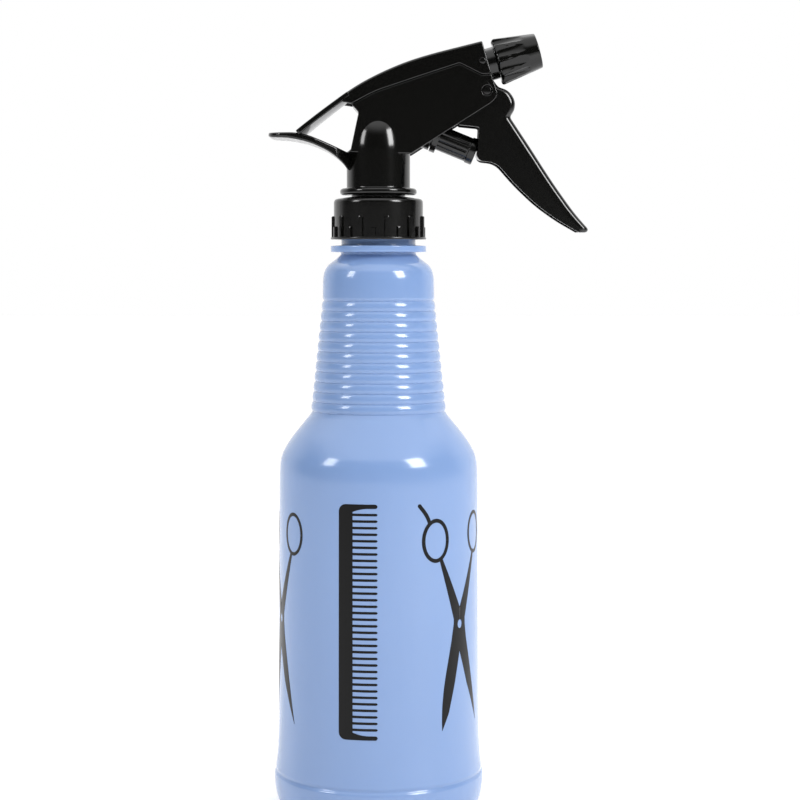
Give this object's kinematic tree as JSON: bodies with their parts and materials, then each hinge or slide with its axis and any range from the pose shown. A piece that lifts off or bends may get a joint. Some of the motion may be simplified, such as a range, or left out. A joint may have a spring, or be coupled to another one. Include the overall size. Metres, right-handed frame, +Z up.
{
  "type": "trigger spray bottle",
  "caption": "Blow-moulded bottle with a ribbed neck cone and a screw-on trigger pump head with side plates, rear hand rest and fluted adjustable nozzle.",
  "frame": {"origin": "centre of the bottle's flat base, on the surface that it stands on", "axes": "+Z up the bottle's axis, +X the way it sprays, +Y across to its far side"},
  "size_m": [0.1106, 0.0738, 0.2721],
  "materials": {
    "bottle_plastic": "glossy",
    "collar_plastic": "glossy",
    "head_plastic": "satin gloss",
    "cover_plastic": "glossy",
    "trigger_plastic": "satin gloss",
    "nozzle_plastic": "glossy",
    "piston_plastic": "glossy",
    "natural_plastic": "natural",
    "tube_plastic": "translucent",
    "seal_rubber": "matte",
    "steel": "drawn wire"
  },
  "bodies": {
    "bottle": {"bottle": "bottle_plastic"},
    "head": {"pump_frame": "head_plastic", "top_cover": "cover_plastic", "valve_housing": "natural_plastic", "dip_tube": "tube_plastic", "neck_gasket": "seal_rubber", "cylinder_bush": "piston_plastic", "return_spring": "steel", "spinner": "natural_plastic", "outlet_spring": "steel"},
    "collar": {"closure_collar": "collar_plastic"},
    "trigger": {"trigger": "trigger_plastic"},
    "piston": {"piston": "piston_plastic", "piston_cup": "seal_rubber", "vent_seal": "seal_rubber"},
    "inlet_ball": {"inlet_ball": "steel"},
    "outlet_valve": {"outlet_valve": "natural_plastic"},
    "nozzle_seal": {"nozzle_o_ring": "seal_rubber"},
    "nozzle": {"nozzle_cap": "nozzle_plastic", "orifice_insert": "nozzle_plastic"}
  },
  "joints": [
    {"name": "head_lift", "type": "slide", "parent": "bottle", "child": "head", "axis": [0, 0, 1], "range_m": [0, 0.215]},
    {"name": "collar_turn", "type": "hinge", "parent": "head", "child": "collar", "pos_m": [0, 0, 0.208], "axis": [0, 0, 1], "range_deg": [0, 450]},
    {"name": "trigger_pull", "type": "hinge", "parent": "head", "child": "trigger", "pos_m": [0.0373, 0, 0.252], "axis": [0, 1, 0], "range_deg": [0, 24], "stiffness_Nm_per_rad": 0.6, "springref_deg": -20.05},
    {"name": "piston_slide", "type": "slide", "parent": "head", "child": "piston", "axis": [-0.9272, 0, 0.3746], "range_m": [0, 0.0089], "deforming": ["return_spring"]},
    {"name": "inlet_ball_lift", "type": "slide", "parent": "head", "child": "inlet_ball", "axis": [0, 0, 1], "range_m": [0, 0.0006]},
    {"name": "outlet_valve_open", "type": "slide", "parent": "head", "child": "outlet_valve", "axis": [0.9622, 0, 0.2723], "range_m": [0, 0.001], "stiffness_N_per_m": 100, "springref_m": -0.002, "deforming": ["outlet_spring"]},
    {"name": "nozzle_advance", "type": "slide", "parent": "head", "child": "nozzle_seal", "axis": [0.9622, 0, 0.2723], "range_m": [0, 0.002]},
    {"name": "nozzle_turn", "type": "hinge", "parent": "nozzle_seal", "child": "nozzle", "pos_m": [0.0408, 0, 0.2622], "axis": [0.9622, 0, 0.2723], "range_deg": [0, 362]}
  ],
  "couplings": [
    {"joint": "piston_slide", "follows": "trigger_pull", "m_per_rad": 0.021},
    {"joint": "nozzle_turn", "follows": "nozzle_advance", "rad_per_m": 3141.6}
  ]
}
